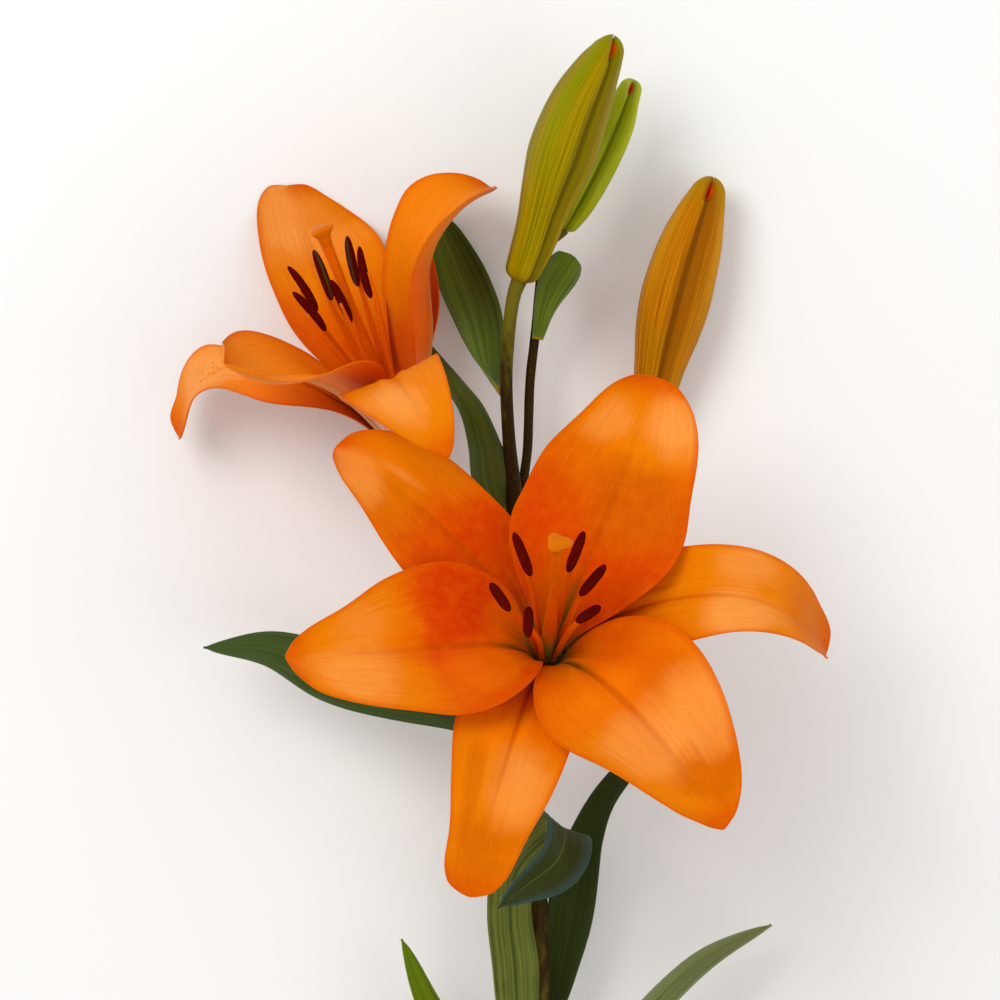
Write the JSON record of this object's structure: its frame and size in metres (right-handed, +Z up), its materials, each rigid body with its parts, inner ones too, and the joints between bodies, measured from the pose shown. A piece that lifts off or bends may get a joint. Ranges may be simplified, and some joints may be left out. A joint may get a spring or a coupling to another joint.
{
  "type": "asiatic lily",
  "caption": "Cut Asiatic lily stem laid down: an open orange bloom, a bloom seen from its side, buds, narrow leaves and a slender stem.",
  "frame": {"origin": "middle of the footprint, on the surface that the cut stem lies on", "axes": "+Y along the stem from its cut end to the buds, +X across it, +Z up from the surface; the open bloom faces mostly +Z"},
  "size_m": [0.189, 0.4551, 0.1239],
  "materials": {
    "stem": "satin",
    "leaf": "satin",
    "tepal": "satin",
    "pistil": "satin",
    "anther": "matte",
    "bud_green": "satin",
    "bud_orange": "satin"
  },
  "bodies": {
    "root": {"bract": "leaf", "bud_large": "bud_green", "bud_orange": "bud_orange", "bud_small": "bud_green", "front_bloom_anther_1": "anther", "front_bloom_anther_2": "anther", "front_bloom_anther_3": "anther", "front_bloom_anther_4": "anther", "front_bloom_anther_5": "anther", "front_bloom_anther_6": "anther", "front_bloom_inner_tepal_left": "tepal", "front_bloom_inner_tepal_low": "tepal", "front_bloom_inner_tepal_right": "tepal", "front_bloom_outer_tepal_left": "tepal", "front_bloom_outer_tepal_low": "tepal", "front_bloom_outer_tepal_right": "tepal", "front_bloom_pistil_and_filaments": "pistil", "leaf_folded": "leaf", "leaf_left": "leaf", "leaf_low_left": "leaf", "leaf_low_right": "leaf", "leaf_lower_front": "leaf", "leaf_lower_left": "leaf", "leaf_lower_right": "leaf", "leaf_lowest_left": "leaf", "leaf_lowest_right": "leaf", "leaf_right": "leaf", "leaf_upper_left": "leaf", "leaf_upper_right": "leaf", "side_bloom_anther_1": "anther", "side_bloom_anther_2": "anther", "side_bloom_anther_3": "anther", "side_bloom_anther_4": "anther", "side_bloom_anther_5": "anther", "side_bloom_anther_6": "anther", "side_bloom_inner_tepal_back": "tepal", "side_bloom_inner_tepal_left": "tepal", "side_bloom_inner_tepal_right": "tepal", "side_bloom_outer_tepal_front": "tepal", "side_bloom_outer_tepal_left": "tepal", "side_bloom_outer_tepal_right": "tepal", "side_bloom_pistil_and_filaments": "pistil", "stem": "stem"}
  },
  "joints": []
}
